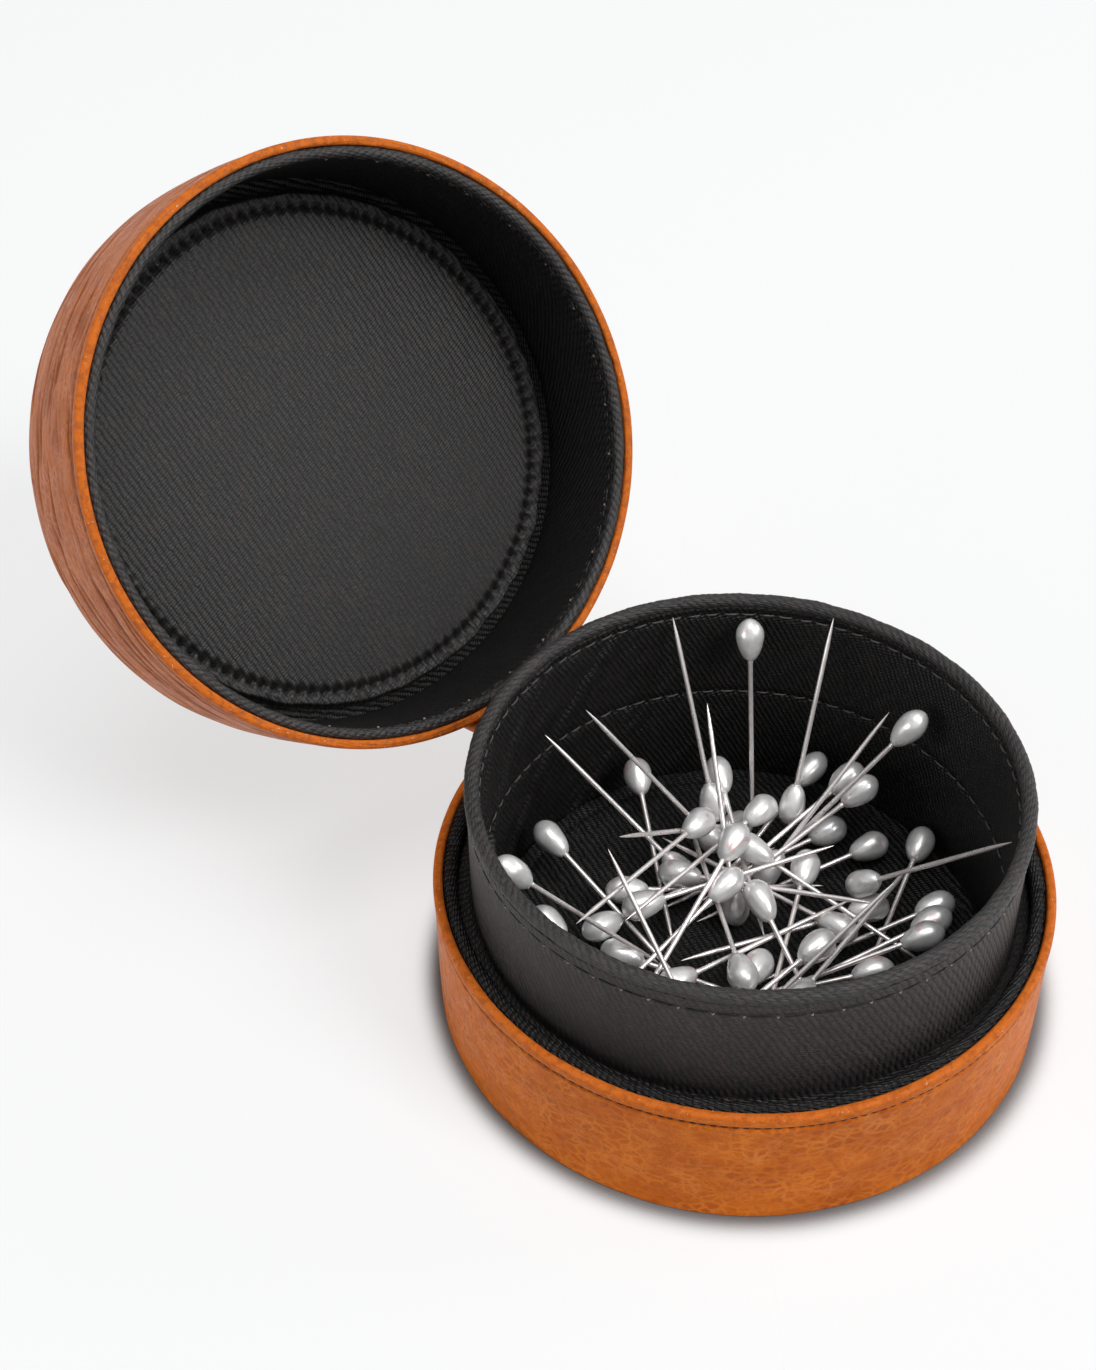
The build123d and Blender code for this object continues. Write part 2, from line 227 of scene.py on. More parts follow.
def make_mesh(name, points, faces, body, weave=None, values=None):
    """A smooth mesh from points in mm. weave holds a place in the cloth for each face corner."""
    flat = np.c_[points, np.ones(len(points))] @ np.array(shell_frames[body]).T
    mesh = bpy.data.meshes.new(name)
    mesh.from_pydata((flat[:, :3] * MM).tolist(), [], faces)
    mesh.polygons.foreach_set("use_smooth", [True] * len(mesh.polygons))
    if weave is not None:
        layer = mesh.uv_layers.new(name="weave")
        layer.data.foreach_set("uv", np.asarray(weave, dtype=np.float32).ravel())
    for value_name, value in (values or {}).items():
        layer = mesh.attributes.new(value_name, "FLOAT", "POINT")
        layer.data.foreach_set("value", np.asarray(value, dtype=np.float32).ravel())
    mesh.update()
    return add_object(name, mesh)


def ring_grid(steps, rings, closed):
    """Each face's step and ring, and its four corners, for points in steps round the axis by rings."""
    step, ring = np.meshgrid(np.arange(steps), np.arange(rings if closed else rings - 1), indexing="ij")
    here, after = step * rings, (step + 1) % steps * rings
    above = (ring + 1) % rings
    corners = [here + ring, after + ring, after + above, here + above]
    return step, ring, np.stack(corners, axis=-1).reshape(-1, 4)


def turned(name, profile, steps, body, shape=None, lean=0.0, marks=None, pitch=rib_pitch):
    """A closed ring turned about the case's axis from a section of (radius, level) points.

    shape moves the points, given their angle, radius and level, and marks gives values to them.
    lean is how many degrees its ribs of cloth lean from the axis, and pitch is the distance between ribs.
    """
    outline = np.array(profile, dtype=float)
    runs = np.hypot(*np.diff(outline, axis=0).T)
    length = np.concatenate([[0], np.cumsum(runs)])
    angle = np.arange(steps) * FULL_TURN / steps
    turn, radius = np.meshgrid(angle, outline[:, 0], indexing="ij")
    level = np.repeat(outline[None, :, 1], steps, axis=0)
    if shape:
        radius, level = shape(turn, radius, level)
    points = np.stack([radius * np.cos(turn), radius * np.sin(turn), level], axis=-1).reshape(-1, 3)
    step, ring, faces = ring_grid(steps, len(outline), True)
    full = np.concatenate([length, [length[-1] + math.dist(outline[-1], outline[0])]])
    slope = math.sin(math.radians(lean)) / pitch
    count = round(FULL_TURN * outline[:, 0].mean() / pitch * math.cos(math.radians(lean)))
    corners = []
    for side, rise in ((0, 0), (1, 0), (1, 1), (0, 1)):
        run = full[ring + rise]
        rib = (step + side) / steps * count + run * slope
        corners.append(np.stack([rib, run / yarn_pitch], axis=-1))
    weave = np.stack(corners, axis=2).reshape(-1, 2)
    values = marks(turn, radius, level) if marks else {}
    return make_mesh(name, points, faces.tolist(), body, weave, values)


def disc(name, radii, body, level, lean, steps=360):
    """A round piece of cloth. level gives each point's radius and height from its angle and radius."""
    rings = len(radii)
    turn, spread = np.meshgrid(np.arange(steps) * FULL_TURN / steps, radii, indexing="ij")
    spread, height = level(turn, spread)
    points = np.stack([spread * np.cos(turn), spread * np.sin(turn), height], axis=-1).reshape(-1, 3)
    faces = ring_grid(steps, rings, False)[2]
    lean = math.radians(lean)
    across = (points[:, 0] * math.sin(lean) - points[:, 1] * math.cos(lean)) / rib_pitch
    run = (points[:, 0] * math.cos(lean) + points[:, 1] * math.sin(lean)) / yarn_pitch
    weave = np.stack([across[faces], run[faces]], axis=-1).reshape(-1, 2)
    middle = list(range(0, steps * rings, rings))[::-1]
    weave = np.concatenate([weave, np.stack([across[middle], run[middle]], axis=-1)])
    return make_mesh(name, points, faces.tolist() + [middle], body, weave)


def tube_faces(start, rings, sides):
    """The faces of an open tube whose points go ring by ring from a start number."""
    faces = []
    for near in range(start, start + (rings - 1) * sides, sides):
        for side in range(sides):
            nxt = (side + 1) % sides
            faces.append((near + side, near + nxt, near + sides + nxt, near + sides + side))
    return faces


def stitches(name, body, material, count, place, length, radius, lift, slant, seed):
    """A row of stitches that bow out of the cloth by lift and slant so many degrees from the row.

    place gives a point, the row's direction and the way out of the cloth for an angle.
    """
    spread = np.random.default_rng(seed)
    rings = 9
    sides = 8
    points = []
    faces = []
    for number in range(count):
        angle = FULL_TURN * (number + spread.uniform(-0.08, 0.08)) / count
        middle, ahead, out = place(angle)
        aside = out.cross(ahead)
        lean = math.radians(slant + spread.uniform(-5, 5))
        ahead = ahead * math.cos(lean) + aside * math.sin(lean)
        aside = out.cross(ahead)
        half = length * spread.uniform(0.44, 0.52)
        start = len(points)
        for ring in range(rings):
            share = 2 * ring / (rings - 1) - 1
            bow = lift - (lift + radius) * share**4
            thick = radius * math.sqrt(max(0.05, 1 - share**6))
            for side in range(sides):
                turn = FULL_TURN * side / sides
                place_out = out * (bow + thick * 0.8 * math.sin(turn))
                points.append(middle + ahead * (half * share) + aside * (thick * math.cos(turn)) + place_out)
        faces += tube_faces(start, rings, sides)
    finish_piece(make_mesh(name, np.array(points), faces, body), body, material)


# Node helpers for the materials

def new_material(name):
    """A material with its tree and shader."""
    mat = bpy.data.materials.new(name)
    mat.use_nodes = True
    return mat, mat.node_tree, mat.node_tree.nodes["Principled BSDF"]


def put(tree, socket, value):
    """Sets a socket to a number or joins it to another socket."""
    if isinstance(value, bpy.types.NodeSocket):
        tree.links.new(value, socket)
    else:
        socket.default_value = value


def fill(tree, node, sockets):
    """Sets or joins each of a node's sockets by its name or number."""
    for name, value in sockets.items():
        put(tree, node.inputs[name], value)
    return node


def calc(tree, operation, first, second=0.0, third=0.0):
    node = tree.nodes.new("ShaderNodeMath")
    node.operation = operation
    return fill(tree, node, {0: first, 1: second, 2: third}).outputs[0]


def coordinates(tree, kind="Object"):
    return tree.nodes.new("ShaderNodeTexCoord").outputs[kind]


def attribute(tree, name):
    """The values of that name that a mesh carries, or 0 on a mesh without them."""
    node = tree.nodes.new("ShaderNodeAttribute")
    node.attribute_name = name
    return node.outputs["Fac"]


def stretched(tree, vector, scale):
    return fill(tree, tree.nodes.new("ShaderNodeMapping"), {"Vector": vector, "Scale": scale}).outputs[0]


def noise_node(tree, vector, size, detail, rough=0.5, distortion=0.0):
    node = tree.nodes.new("ShaderNodeTexNoise")
    fill(tree, node, {"Vector": vector, "Scale": 1 / size, "Detail": detail})
    return fill(tree, node, {"Roughness": rough, "Distortion": distortion})


def noise(*values):
    """Noise whose blotches are about so many mm wide in object space, or so many units elsewhere."""
    return noise_node(*values).outputs["Fac"]


def warped(tree, vector, amount, size):
    """The place moved about by three noises in one, to bend other patterns with."""
    return mixed(tree, amount, vector, noise_node(tree, vector, size, 2.0).outputs["Color"], "LINEAR_LIGHT")


def cells(tree, vector, size, feature="DISTANCE_TO_EDGE"):
    node = tree.nodes.new("ShaderNodeTexVoronoi")
    node.feature = feature
    return fill(tree, node, {"Vector": vector, "Scale": 1 / size}).outputs["Distance"]


def ramp(tree, value, low, high, start=0.0, end=1.0):
    """Maps low..high to start..end, softly and without going past them."""
    node = tree.nodes.new("ShaderNodeMapRange")
    node.interpolation_type = "SMOOTHSTEP"
    values = {"Value": value, "From Min": low, "From Max": high, "To Min": start, "To Max": end}
    return fill(tree, node, values).outputs["Result"]


def mixed(tree, share, first, second, blend="MIX"):
    node = tree.nodes.new("ShaderNodeMixRGB")
    node.blend_type = blend
    colours = [tone if isinstance(tone, bpy.types.NodeSocket) else (*tone, 1) for tone in (first, second)]
    return fill(tree, node, {0: share, 1: colours[0], 2: colours[1]}).outputs[0]


def raised(tree, height, distance, strength=1.0, under=None):
    """A bump of so many mm."""
    values = {"Height": height, "Distance": distance * MM, "Strength": strength}
    if under is not None:
        values["Normal"] = under
    return fill(tree, tree.nodes.new("ShaderNodeBump"), values).outputs[0]


def millimetres(tree):
    """Object coordinates in mm."""
    return stretched(tree, coordinates(tree), (1 / MM, 1 / MM, 1 / MM))


def tinted(colour, *factors):
    return tuple(part * factor for part, factor in zip(colour, factors))


def leather(name, warm, brown, pale, edge_colour, crease):
    """Oiled grained leather, browner in patches and brighter where its edge was cut and folded."""
    mat, tree, shader = new_material(name)
    place = millimetres(tree)
    weave = coordinates(tree, "UV")
    patches = ramp(tree, noise(tree, place, 14, 3, 0.6, 0.6), 0.36, 0.64)
    mottle = ramp(tree, noise(tree, place, 2.6, 4, 0.65), 0.34, 0.68)
    colour = mixed(tree, ramp(tree, patches, 0.0, 1.0, 0.5, 1.0), brown, warm)
    colour = mixed(tree, calc(tree, "MULTIPLY", mottle, 0.35), colour, warm)
    upright = noise(tree, stretched(tree, place, (1, 1, 0.35)), 1.1, 3, 0.6)
    colour = mixed(tree, ramp(tree, upright, 0.52, 0.68, 0.0, 0.35), colour, brown)

    # Grain: cells of two sizes, darker inside and paler along their lines
    pebble_place = stretched(tree, warped(tree, place, 0.6, 2.6), (1, 1, 1.35))
    pebbles = cells(tree, pebble_place, 2.1)
    small_pebbles = cells(tree, pebble_place, 0.7)
    dark = ramp(tree, noise(tree, place, 8, 2), 0.44, 0.66, 0.0, 0.50)
    dark = calc(tree, "MULTIPLY", ramp(tree, pebbles, 0.10, 0.34), dark)
    colour = mixed(tree, dark, colour, tinted(brown, 0.85, 0.72, 1))
    worn = ramp(tree, noise(tree, place, 5, 2), 0.38, 0.64, 0.08, 0.42)
    worn = calc(tree, "MULTIPLY", ramp(tree, pebbles, 0.0, 0.20, 1.0, 0.0), worn)
    colour = mixed(tree, worn, colour, pale)
    fine = ramp(tree, noise(tree, place, 4, 2), 0.40, 0.64, 0.04, 0.26)
    fine = calc(tree, "MULTIPLY", ramp(tree, small_pebbles, 0.0, 0.22, 1.0, 0.0), fine)
    colour = mixed(tree, fine, colour, pale)

    # Scuffs, veins and pores
    scuffs = ramp(tree, noise(tree, place, 8, 4, 0.65, 0.4), 0.60, 0.74, 0.0, 0.28)
    colour = mixed(tree, scuffs, colour, tinted(pale, 0.85, 0.95, 1.7))
    bent = stretched(tree, warped(tree, place, 0.9, 1.6), (1.1, 1.1, 0.8))
    veins = ramp(tree, noise(tree, place, 7, 2), 0.44, 0.64, 0.02, 0.30)
    veins = calc(tree, "MULTIPLY", ramp(tree, cells(tree, bent, 3.6), 0.0, 0.07, 1.0, 0.0), veins)
    colour = mixed(tree, veins, colour, tinted(brown, 0.8, 0.72, 0.7))
    pores = noise(tree, place, 0.22, 3, 0.6)
    colour = mixed(tree, ramp(tree, pores, 0.2, 0.42, 0.25, 0.0), colour, brown)

    # Fine creases along the wall, darker in their troughs as painted shade and paler on their ridges, and
    # painted shade in the creases and stitched groove that the mesh has
    fine_creases = noise(tree, stretched(tree, weave, (0.07, 0.20, 1)), 1.0, 5, 0.6, 0.8)
    deep = tinted(brown, 0.5, 0.45, 0.4)
    colour = mixed(tree, ramp(tree, fine_creases, 0.33, 0.47, crease, 0.0), colour, deep)
    colour = mixed(tree, ramp(tree, fine_creases, 0.55, 0.72, 0.0, crease), colour, pale)
    patchy = ramp(tree, noise(tree, place, 1.3, 3, 0.6), 0.3, 0.6, 0.6, 1.0)
    # Painted shade in the mesh's creases and its stitched groove
    colour = mixed(tree, calc(tree, "MULTIPLY", attribute(tree, "crease"), patchy), colour, deep)

    # The folded edge: bright cut fibres, worn darker in places, with pale flecks
    edge = mixed(tree, noise(tree, place, 0.3, 3, 0.6), edge_colour, tinted(edge_colour, 0.8, 0.62, 0.6))
    worn_edge = ramp(tree, noise(tree, place, 1.1, 3, 0.6), 0.42, 0.66, 0.0, 0.5)
    edge = mixed(tree, worn_edge, edge, tinted(brown, 0.7, 0.7, 1))
    edge = mixed(tree, ramp(tree, noise(tree, place, 0.45, 2), 0.70, 0.74), edge, (0.75, 0.50, 0.40))
    small_height = ramp(tree, small_pebbles, 0.0, 0.3, 0.0, 0.3)
    height = calc(tree, "MULTIPLY_ADD", ramp(tree, pebbles, 0.0, 0.3), 0.6, small_height)
    normal = raised(tree, pores, 0.03, 0.6, raised(tree, height, 0.07, 0.7))
    fill(tree, shader, {
        "Base Color": mixed(tree, attribute(tree, "edge"), colour, edge),
        "Roughness": ramp(tree, mottle, 0.0, 1.0, 0.52, 0.40),
        "Specular IOR Level": 0.12,
        "Normal": raised(tree, fine_creases, 2.0 * crease, 0.8, normal),
    })
    return mat


def twill(name, crest, valley, rib_depth):
    """Black twill. The weave map's first number counts ribs and its second counts yarns along them."""
    mat, tree, shader = new_material(name)
    weave = coordinates(tree, "UV")
    place = millimetres(tree)
    split = tree.nodes.new("ShaderNodeSeparateXYZ")
    put(tree, split.inputs[0], weave)
    uneven = noise(tree, stretched(tree, weave, (1.0, 0.35, 1)), 1.4, 3, 0.6)
    rib = calc(tree, "MULTIPLY_ADD", uneven, 0.9, split.outputs[0])
    yarn = calc(tree, "MULTIPLY_ADD", uneven, 0.7, split.outputs[1])
    rib_wave = calc(tree, "ABSOLUTE", calc(tree, "SINE", calc(tree, "MULTIPLY", rib, math.pi)))
    float_turn = calc(tree, "MULTIPLY", calc(tree, "MULTIPLY_ADD", rib, 0.5, yarn), FULL_TURN)
    ribs = calc(tree, "MULTIPLY", rib_wave, 0.9)
    height = calc(tree, "MULTIPLY_ADD", calc(tree, "SINE", float_turn), 0.22, ribs)

    # The ribs' tone, broken by the grain of the yarn and darker in blotches, with painted shade darkening it
    # towards the sleeve's foot
    grain = noise(tree, stretched(tree, weave, (1.0, 0.6, 1)), 0.52, 2, 0.6)
    grain = ramp(tree, grain, 0.38, 0.62, 0.15, 1.75)
    colour = mixed(tree, ramp(tree, calc(tree, "MULTIPLY", height, grain), 0.1, 1.0), valley, crest)
    mottle = ramp(tree, noise(tree, place, 1.5, 3, 0.6), 0.40, 0.66, 0.0, 0.40)
    colour = mixed(tree, mottle, colour, valley)
    # Painted shade: the cloth turns darker towards the sleeve's foot, where the fold value is high
    colour = mixed(tree, calc(tree, "MULTIPLY", attribute(tree, "fold"), 0.85), colour, valley)

    # Brownish streaks, rusty spots, darker patches and pale lint
    streaks = noise(tree, stretched(tree, weave, (1.0, 0.12, 1)), 1.3, 3, 0.6)
    colour = mixed(tree, ramp(tree, streaks, 0.52, 0.75, 0.0, 0.55), colour, tinted(crest, 1.35, 1.08, 0.95))
    rusty = ramp(tree, noise(tree, place, 0.5, 1), 0.62, 0.7, 0.0, 0.5)
    colour = mixed(tree, rusty, colour, tinted(crest, 1.7, 0.95, 0.75))
    patches = ramp(tree, noise(tree, place, 9, 3, 0.6), 0.3, 0.7)
    colour = mixed(tree, calc(tree, "MULTIPLY", patches, 0.25), colour, valley)
    specks = ramp(tree, cells(tree, place, 2.4, "F1"), 0.02, 0.035, 0.5, 0.0)
    lint = calc(tree, "MULTIPLY", specks, ramp(tree, noise(tree, place, 3.1, 1), 0.56, 0.6))
    colour = mixed(tree, lint, colour, (0.42, 0.33, 0.29))
    fill(tree, shader, {"Base Color": colour, "Roughness": 0.5, "Specular IOR Level": 0.32,
                        "Normal": raised(tree, height, rib_depth, 0.8)})
    return mat


def thread(name, colour, roughness=0.5):
    """Spun thread, lighter and darker along its twist."""
    mat, tree, shader = new_material(name)
    twist = noise(tree, millimetres(tree), 0.18, 2)
    tone = mixed(tree, ramp(tree, twist, 0.35, 0.65), tinted(colour, 0.45, 0.45, 0.45), colour)
    fill(tree, shader, {"Base Color": tone, "Roughness": roughness, "Specular IOR Level": 0.25,
                        "Normal": raised(tree, twist, 0.08, 0.6)})
    return mat


def pearl(name):
    """Pearl lacquer on a glass head: grey-white, glossy and faintly streaked, with a few pink stains."""
    mat, tree, shader = new_material(name)
    place = millimetres(tree)
    swirl = ramp(tree, noise(tree, place, 2.0, 2, 0.5, 0.6), 0.3, 0.7)
    colour = mixed(tree, swirl, (0.78, 0.77, 0.765), (0.93, 0.925, 0.92))
    stains = ramp(tree, noise(tree, place, 3.3, 1), 0.66, 0.70, 0.0, 0.5)
    streak = noise(tree, stretched(tree, coordinates(tree, "UV"), (7, 0.16, 1)), 1.0, 3, 0.55)
    fill(tree, shader, {
        "Base Color": mixed(tree, stains, colour, (0.75, 0.42, 0.42)),
        "Metallic": 0.4,
        "Roughness": ramp(tree, streak, 0.2, 0.8, 0.24, 0.40),
        "Coat Weight": 0.8,
        "Coat Roughness": 0.08,
        "Normal": raised(tree, streak, 0.05, 0.5),
    })
    return mat


def steel(name):
    """Polished pin steel with warm tarnish."""
    mat, tree, shader = new_material(name)
    tarnish = noise(tree, millimetres(tree), 3.0, 3, 0.6)
    colour = mixed(tree, ramp(tree, tarnish, 0.35, 0.7), (0.98, 0.94, 0.93), (0.80, 0.73, 0.71))
    roughness = ramp(tree, tarnish, 0.3, 0.7, 0.26, 0.36)
    fill(tree, shader, {"Base Color": colour, "Metallic": 0.6, "Roughness": roughness})
    return mat


def pasteboard(name):
    """Grey-brown board, seen only where the case is cut open."""
    mat, tree, shader = new_material(name)
    flecks = noise(tree, millimetres(tree), 0.5, 4, 0.7)
    colour = mixed(tree, flecks, (0.40, 0.33, 0.25), (0.52, 0.45, 0.35))
    fill(tree, shader, {"Base Color": colour, "Roughness": 0.9, "Normal": raised(tree, flecks, 0.05, 0.5)})
    return mat


tan = leather(
    "tan_leather", warm=(0.65, 0.145, 0.006), brown=(0.44, 0.084, 0.005), pale=(0.88, 0.30, 0.05),
    edge_colour=(0.72, 0.190, 0.022), crease=0.15
)
# The lid's leather is pinker and paler than the base's: partly another hide, partly a painted whitish sheen
# of its grazing sides
lid_tan = leather(
    "lid_tan_leather", warm=(0.60, 0.180, 0.062), brown=(0.40, 0.100, 0.030), pale=(0.78, 0.32, 0.15),
    edge_colour=(0.76, 0.20, 0.018), crease=0.5
)
black = twill("black_twill", (0.060, 0.055, 0.054), (0.018, 0.0165, 0.0165), 0.2)
pad_black = twill("black_pad_twill", (0.038, 0.0365, 0.036), (0.016, 0.0155, 0.0155), 0.13)
roll_black = twill("black_roll_twill", (0.055, 0.052, 0.051), (0.024, 0.023, 0.023), 0.16)
# The next two are darker copies of the black twill for the welt in the crevice under the collar, the bowl's
# floor and the case's linings: partly darker cloth, partly painted shade
welt_black = twill("black_welt_twill", (0.013, 0.012, 0.012), (0.0005, 0.0005, 0.0005), 0.35)
shaded_lining_black = twill("deep_black_twill", (0.017, 0.0155, 0.015), (0.0015, 0.0015, 0.0015), 0.25)
black_thread = thread("black_thread", (0.014, 0.013, 0.013))
brown_thread = thread("brown_thread", (0.045, 0.018, 0.008))
dull_thread = thread("dull_black_thread", (0.003, 0.003, 0.003), 0.9)
grey_thread = thread("grey_thread", (0.15, 0.142, 0.138))
pale_thread = thread("pale_thread", (0.42, 0.32, 0.29))
pearl_lacquer = pearl("pearl_lacquer")
pin_steel = steel("pin_steel")
board = pasteboard("pasteboard")


def cover(node, material):
    """Gives a CAD node a material in place of its own."""
    materials = frame["nodes"][node].data.materials
    materials.clear()
    materials.append(material)


def directions(angle):
    """The way out from the case's axis and the way round it, at an angle."""
    return Vector((math.cos(angle), math.sin(angle), 0)), Vector((-math.sin(angle), math.cos(angle), 0))


def ring_place(radius, level, outwards=1):
    """Places for a row of stitches on a wall."""
    def place(angle):
        out, ahead = directions(angle)
        return out * radius + Vector((0, 0, level)), ahead, out * outwards
    return place


# Leather shells

def creases(turn, depth, seed, amount):
    """Long creases that wander round a wall, and the seam's own: amount in a crease and 0 between them."""
    total = np.zeros_like(turn)
    for number in range(7):
        line = groove_drop + 2.2 + 3.3 * number + 1.5 * ripple(turn, (2, 3 + number % 3, 7), seed + number)
        line = line + 0.28 * ripple(turn, (13, 24, 37), seed + 20 + number)
        strength = smooth(-0.5, 0.7, ripple(turn, (3, 6, 11, 19), seed + 40 + number))
        wide = 0.55 + 0.25 * ripple(turn, (5, 12, 21), seed + 60 + number)
        total = np.maximum(total, strength * bell(depth, line, np.maximum(wide, 0.25)))
    return amount * np.maximum(total, 0.8 * bell(depth, groove_drop, 0.5))


def shell_wall(name, node, body, wall, rim, far, bulge, material, seed, creased):
    """A leather wall, up inside from its far end, over the folded rim and back down outside."""
    way = 1 if far > rim else -1
    outside = wall.outer - bulge
    inner_arc = arc((wall.inner + rim_corner, rim + way * rim_corner), rim_corner, 180, 180 + way * 90, 6)
    outer_arc = arc((outside - rim_corner, rim + way * rim_corner), rim_corner, -way * 90, 0, 6)
    profile = soft_profile([(wall.inner, far), inner_arc[0]], 2.0)[:-1] + inner_arc
    profile += outer_arc + soft_profile([outer_arc[-1], (outside, far)], 0.16)[1:]

    def shape(turn, radius, level):
        """Puts in the rolled rim, the stitched groove, the wall's swell, its creases and its unevenness."""
        depth = (level - rim) * way
        outer = smooth(outside - 0.5, outside - 0.05, radius)
        groove_at = groove_drop + 0.10 * ripple(turn, (3, 5, 8, 13), seed)
        roll = ridge * np.sin(np.clip(depth / groove_at, 0, 1) * math.pi)
        groove = groove_depth * bell(depth, groove_at, groove_width)
        share = np.clip((depth - groove_at) / (abs(far - rim) - groove_at), 0, 1)
        swell = bulge * np.sin(share * math.pi) ** 0.8
        uneven = 0.07 * ripple(turn + depth * 0.03, (2, 7, 11, 19), seed + 1) * share
        folds = crease_depth * creases(turn, depth, seed, creased)
        level = level + 0.08 * ripple(turn, (3, 7, 12, 23), seed + 2) * (depth < 1)
        return radius + outer * (roll - groove + swell + uneven - folds), level

    def marks(turn, radius, level):
        """edge is 1 on the folded rim and fades below it, and crease is 1 in a crease and in the stitched
        groove, where it paints shade into the leather's colour.
        """
        depth = (level - rim) * way
        wander = 0.12 * ripple(turn, (9, 17, 31, 47), 4)
        return {"edge": 1 - smooth(0.55, 1.1, depth + wander), "crease": creases(turn, depth, seed, creased)}

    piece = turned(name, profile, 1200, body, shape, marks=marks)
    finish_piece(piece, body, material, node)


def dress_leather():
    shell_wall("base_side_leather", "base_leather_wall", "base", base_wall, base_wall.high, base_foot, 0.0,
               tan, 11, 0.12)
    shell_wall("lid_side_leather", "lid_leather_wall", "lid", lid_wall, lid_wall.low, lid_wall.high,
               lid_wall.outer - base_wall.outer, lid_tan, 21, 1.0)
    cover("base_leather_bottom", tan)
    cover("lid_leather_top", lid_tan)


def dress_leather_stitches():
    count = round(FULL_TURN * base_wall.outer / rim_stitch_pitch)
    for body, level in (("base", base_wall.high - groove_drop), ("lid", lid_wall.low + groove_drop)):
        place = ring_place(base_wall.outer - 0.28, level)
        stitches(f"{body}_rim_stitches", body, brown_thread, count, place, 1.2, 0.17, 0.06, 0, 7)


# Fabric rolls round the rims

def fabric_roll(name, node, roll, body, lean, seed, material, rough=0.03):
    """A roll of twill over a core, its ribs showing across it."""
    centre = ((roll.inner + roll.outer) / 2, (roll.low + roll.high) / 2)
    half = (roll.high - roll.low) / 2

    def shape(turn, radius, level):
        swell = 0.06 * ripple(turn, (9, 15, 27, 41), seed)
        swell = swell + rough * ripple(turn, (97, 143, 211, 267), seed + 5)
        level = level + rough * 2 * ripple(turn, (11, 23, 37, 61), seed + 6)
        away = (radius - centre[0]) / half, (level - centre[1]) / half
        return radius + away[0] * swell, level + away[1] * swell

    piece = turned(name, arc(centre, half, 0, 360, 28)[:-1], 1500, body, shape, lean)
    finish_piece(piece, body, material, node)


def dress_rolls():
    fabric_roll("base_welt_roll", "base_welt", base_welt, "base", 12, 31, welt_black, 0.08)
    fabric_roll("lid_welt_roll", "lid_welt", lid_welt, "lid", -42, 32, roll_black)
    fabric_roll("rim_roll", "collar_rim_roll", rim_roll, "base", 48, 33, roll_black)


# Collar

def dress_collar():
    """The sleeve: a hem that fills the shell, then a wall with gathers at its foot and a pinched seam."""
    top = rim_roll.low + 0.35
    inner, outer, hem = collar_core.outer, sleeve_radius, sleeve.outer
    outline = [(inner, sleeve.low), (hem, sleeve.low), (hem, hem_level - 0.8), (hem - 0.8, hem_level)]
    outline += [(outer + 0.5, hem_level), (outer, hem_level + 0.6), (outer, top), (inner, top)]
    seam = rim_roll.high - collar_stitch_drop

    def shape(turn, radius, level):
        wall = smooth(hem_level + 0.4, hem_level + 1.4, level) * (radius > inner + 0.1)
        above = 0.14 * smooth(seam, seam + 1.2, level)
        foot = np.exp(-((level - hem_level) / 6.0))
        front = 0.3 + 0.7 * smooth(0.2, 0.9, np.cos(turn + math.radians(72)))
        gather = np.abs(np.sin(turn * 125 + 0.4 * ripple(turn, (3, 7, 11), 41)))
        sag = 0.12 * ripple(turn, (2, 5, 9), 42) * smooth(hem_level, hem_level + 8, level)
        pucker = 0.7 * foot * front * (gather - 0.7)
        return radius + wall * (above - 0.22 * bell(level, seam, 0.45) + pucker + sag), level

    def marks(turn, radius, level):
        """fold is 1 at the sleeve's foot and fades up the wall: painted shade in the cloth's colour."""
        return {"fold": np.exp(-np.clip(level - hem_level - 0.5, 0, None) / 6.5)}

    piece = turned("collar_sleeve_cloth", soft_profile(outline, 0.35), 1800, "base", shape, 29, marks)
    finish_piece(piece, "base", black, "collar_outer_sleeve")
    count = round(FULL_TURN * outer / collar_stitch_pitch)
    stitches("collar_outer_stitches", "base", black_thread, count, ring_place(outer - 0.1, seam),
             3.6, 0.13, 0.06, 0, 9)
    specks = ring_place(outer - 0.05, seam)

    def between(angle):
        return specks(angle + math.pi / count)

    stitches("collar_stitch_specks", "base", pale_thread, count, between, 0.5, 0.14, 0.14, 20, 9)


def dress_bowl():
    """The lining inside the collar: crumpled, most at the back, with a creased fold and two sewn rows."""
    top = rim_roll.low + 0.5
    floor_level = bowl_floor.high
    low, inner, outer = bowl_lining.low, bowl_radius, bowl_radius + 0.4
    outline = [(inner, low), (inner, top), (outer, top), (outer, low)]
    middle_seam = floor_level + bowl_middle_stitch_rise
    upper_seam = rim_roll.high - bowl_upper_stitch_drop

    def shape(turn, radius, level):
        inside = radius < inner + 0.2
        fold = np.abs(np.angle(np.exp(1j * (turn - math.radians(150)))))
        crease = bell(fold, 0, 0.05) * smooth(floor_level, floor_level + 5, level)
        pinch = 0.35 * bell(level, middle_seam, 0.6) + 0.35 * bell(level, upper_seam, 0.6)
        crumple = smooth(0.2, 0.9, np.cos(turn - math.radians(120)))
        wrinkles = 0.26 * ripple(turn + level * 0.02, (11, 17, 29, 43), 51) * (0.35 + crumple)
        wrinkles = wrinkles + 0.1 * crumple * np.sin(level * 0.9 + 3 * ripple(turn, (4, 7, 12), 52))
        return radius + inside * (pinch - crease - np.abs(wrinkles)), level

    piece = turned("bowl_lining_cloth", soft_profile(outline, 0.45), 1200, "base", shape, -28, pitch=0.90)
    finish_piece(piece, "base", shaded_lining_black, "collar_inner_lining")
    count = round(FULL_TURN * inner / bowl_stitch_pitch)
    for name, level in (("bowl_upper_stitches", upper_seam), ("bowl_middle_stitches", middle_seam)):
        place = ring_place(inner - 0.1, level, -1)
        stitches(name, "base", grey_thread, count, place, 2.3, 0.15, 0.1, 4, 10)


